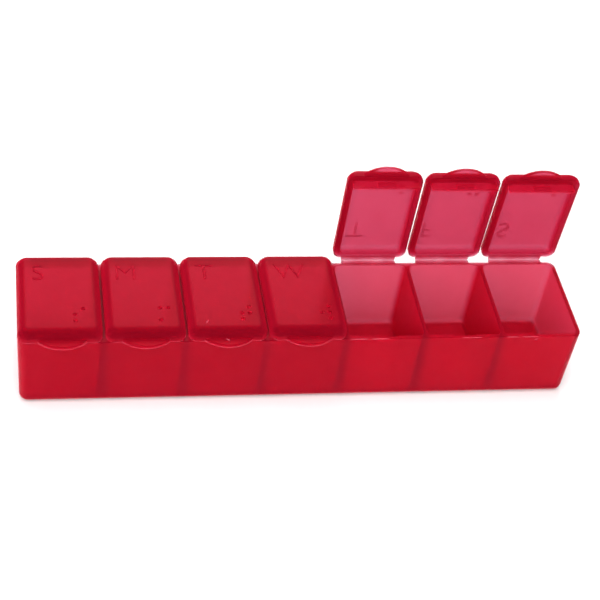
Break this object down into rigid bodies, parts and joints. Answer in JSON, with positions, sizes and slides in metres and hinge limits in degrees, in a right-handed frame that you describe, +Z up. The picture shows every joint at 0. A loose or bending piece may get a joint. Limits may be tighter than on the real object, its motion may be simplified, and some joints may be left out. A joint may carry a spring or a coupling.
{
  "type": "weekly pill box",
  "caption": "Long translucent pill organizer: a divided tray with a hinged snap lid over each day's compartment.",
  "frame": {"origin": "centre of the tray's flat base, on the surface that it stands on", "axes": "+X along the row of days, Sunday to Saturday; +Y to the hinge side; +Z up"},
  "size_m": [0.1504, 0.0375, 0.0561],
  "materials": {
    "tray_plastic": "frosted translucent red polypropylene",
    "lid_plastic": "frosted translucent red polypropylene",
    "film_plastic": "thin, paler translucent polypropylene film"
  },
  "bodies": {
    "tray": {"tray": "tray_plastic", "hinge_film_sunday": "film_plastic", "hinge_film_monday": "film_plastic", "hinge_film_tuesday": "film_plastic", "hinge_film_wednesday": "film_plastic", "hinge_film_thursday": "film_plastic", "hinge_film_friday": "film_plastic", "hinge_film_saturday": "film_plastic"},
    "lid_sunday": {"lid_sunday": "lid_plastic"},
    "lid_monday": {"lid_monday": "lid_plastic"},
    "lid_tuesday": {"lid_tuesday": "lid_plastic"},
    "lid_wednesday": {"lid_wednesday": "lid_plastic"},
    "lid_thursday": {"lid_thursday": "lid_plastic"},
    "lid_friday": {"lid_friday": "lid_plastic"},
    "lid_saturday": {"lid_saturday": "lid_plastic"}
  },
  "joints": [
    {"name": "lid_sunday_hinge", "type": "hinge", "parent": "tray", "child": "lid_sunday", "pos_m": [-0.0639, 0.01615, 0.02204], "axis": [-1, 0, 0], "range_deg": [0, 180], "deforming": ["hinge_film_sunday"]},
    {"name": "lid_monday_hinge", "type": "hinge", "parent": "tray", "child": "lid_monday", "pos_m": [-0.0426, 0.01615, 0.02204], "axis": [-1, 0, 0], "range_deg": [0, 180], "deforming": ["hinge_film_monday"]},
    {"name": "lid_tuesday_hinge", "type": "hinge", "parent": "tray", "child": "lid_tuesday", "pos_m": [-0.0213, 0.01615, 0.02204], "axis": [-1, 0, 0], "range_deg": [0, 180], "deforming": ["hinge_film_tuesday"]},
    {"name": "lid_wednesday_hinge", "type": "hinge", "parent": "tray", "child": "lid_wednesday", "pos_m": [0, 0.01615, 0.02204], "axis": [-1, 0, 0], "range_deg": [0, 180], "deforming": ["hinge_film_wednesday"]},
    {"name": "lid_thursday_hinge", "type": "hinge", "parent": "tray", "child": "lid_thursday", "pos_m": [0.0213, 0.01615, 0.02204], "axis": [-1, 0, 0], "range_deg": [-86, 94], "deforming": ["hinge_film_thursday"]},
    {"name": "lid_friday_hinge", "type": "hinge", "parent": "tray", "child": "lid_friday", "pos_m": [0.0426, 0.01615, 0.02204], "axis": [-1, 0, 0], "range_deg": [-85, 95], "deforming": ["hinge_film_friday"]},
    {"name": "lid_saturday_hinge", "type": "hinge", "parent": "tray", "child": "lid_saturday", "pos_m": [0.0639, 0.01615, 0.02204], "axis": [-1, 0, 0], "range_deg": [-84, 96], "deforming": ["hinge_film_saturday"]}
  ]
}
